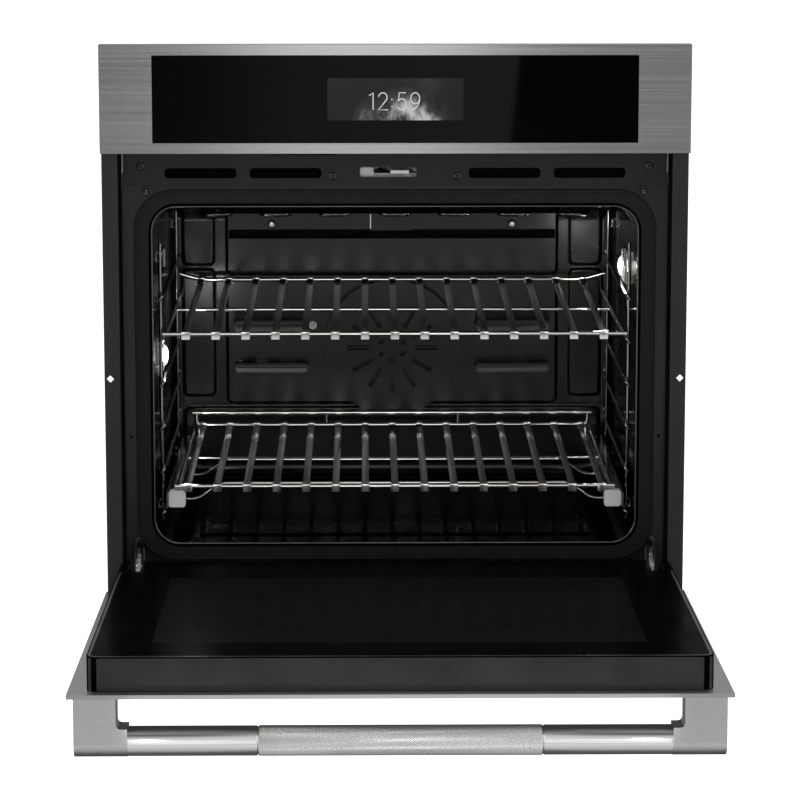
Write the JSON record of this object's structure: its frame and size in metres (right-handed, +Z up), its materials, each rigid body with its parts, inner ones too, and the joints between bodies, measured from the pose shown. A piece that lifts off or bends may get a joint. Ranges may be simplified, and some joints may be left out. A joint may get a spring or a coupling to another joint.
{
  "type": "built-in wall oven",
  "caption": "Single built-in wall oven with a drop-down door, tubular handle, glass control panel and two wire racks.",
  "frame": {"origin": "centreline of the underside of the base pan, in the plane of the cabinet face", "axes": "+X to the oven's right seen from the front, +Y into the cabinet, +Z up"},
  "size_m": [0.762, 1.1858, 0.7776],
  "materials": {
    "stainless": "brushed",
    "stainless_bright": "satin",
    "hinge_steel": "plated",
    "chrome_wire": "polished",
    "black_enamel": "gloss",
    "satin_black": "satin",
    "charcoal_trim": "satin",
    "galvanised": "zinc coated",
    "element_sheath": "oxidised",
    "aluminium": "plain",
    "motor_black": "satin",
    "black_glass": "polished",
    "clear_glass": "pressed",
    "black_plastic": "matte",
    "pale_cap": "satin",
    "circuit_board": "matte",
    "black_rubber": "matte",
    "wool": "fibrous"
  },
  "bodies": {
    "chassis": {"base_pan": "galvanised", "side_panel_left": "galvanised", "side_panel_right": "galvanised", "top_cover": "galvanised", "back_panel": "galvanised", "insulation_wrap": "wool", "front_frame": "black_enamel", "vent_trim": "satin_black", "bottom_trim": "charcoal_trim", "side_trim_left": "charcoal_trim", "side_trim_right": "charcoal_trim", "control_fascia": "stainless", "panel_glass": "black_glass", "panel_holder": "black_plastic", "display_module": "black_plastic", "control_board": "circuit_board", "blower_housing": "galvanised", "blower_motor": "motor_black", "relay_board": "circuit_board", "inlet_plate": "galvanised", "cavity_wrapper": "black_enamel", "cavity_back": "black_enamel", "back_shield": "black_enamel", "fan_cover": "black_enamel", "convection_motor": "motor_black", "broil_element": "element_sheath", "bake_element": "element_sheath", "temperature_sensor": "chrome_wire", "lamp_lens_left": "clear_glass", "lamp_lens_right": "clear_glass", "rack_guide_left": "chrome_wire", "rack_guide_right": "chrome_wire", "glide_rail_left": "stainless", "glide_rail_right": "stainless", "door_gasket": "black_rubber", "bumper_left": "black_rubber", "bumper_right": "black_rubber", "hinge_arm_left": "hinge_steel", "hinge_arm_right": "hinge_steel", "latch_base": "galvanised"},
    "door": {"door_skin": "stainless", "outer_glass": "black_glass", "door_liner": "black_enamel", "inner_glass": "black_glass", "hinge_body_left": "hinge_steel", "hinge_body_right": "hinge_steel", "handle_bar": "stainless_bright", "handle_grip": "stainless_bright", "handle_cap_left": "stainless", "handle_cap_right": "stainless"},
    "upper_rack": {"upper_rack": "chrome_wire"},
    "lower_rack": {"lower_rack": "chrome_wire", "glide_frame": "chrome_wire", "glide_cap_left": "pale_cap", "glide_cap_right": "pale_cap"},
    "convection_fan": {"convection_fan": "aluminium"},
    "blower_wheel": {"blower_wheel": "aluminium"},
    "latch_hook": {"latch_hook": "chrome_wire"},
    "hinge_lock_left": {"hinge_lock_left": "chrome_wire"},
    "hinge_lock_right": {"hinge_lock_right": "chrome_wire"}
  },
  "joints": [
    {"name": "door_hinge", "type": "hinge", "parent": "chassis", "child": "door", "pos_m": [0, -0.0205, 0.0215], "axis": [1, 0, 0], "range_deg": [-88.2, 0]},
    {"name": "upper_rack_slide", "type": "slide", "parent": "chassis", "child": "upper_rack", "axis": [0, -1, 0], "range_m": [0, 0.33]},
    {"name": "lower_rack_slide", "type": "slide", "parent": "chassis", "child": "lower_rack", "axis": [0, -1, 0], "range_m": [0, 0.33]},
    {"name": "convection_fan_spin", "type": "hinge", "parent": "chassis", "child": "convection_fan", "pos_m": [0, 0.489, 0.267], "axis": [0, 1, 0], "continuous": true},
    {"name": "blower_wheel_spin", "type": "hinge", "parent": "chassis", "child": "blower_wheel", "pos_m": [0, 0.44, 0.63], "axis": [1, 0, 0], "continuous": true},
    {"name": "door_lock_slide", "type": "slide", "parent": "chassis", "child": "latch_hook", "axis": [0, -1, 0], "range_m": [0, 0.012]},
    {"name": "hinge_lock_left_swing", "type": "hinge", "parent": "chassis", "child": "hinge_lock_left", "pos_m": [-0.34, 0.018, 0.047], "axis": [1, 0, 0], "range_deg": [0, 60]},
    {"name": "hinge_lock_right_swing", "type": "hinge", "parent": "chassis", "child": "hinge_lock_right", "pos_m": [0.34, 0.018, 0.047], "axis": [1, 0, 0], "range_deg": [0, 60]}
  ]
}
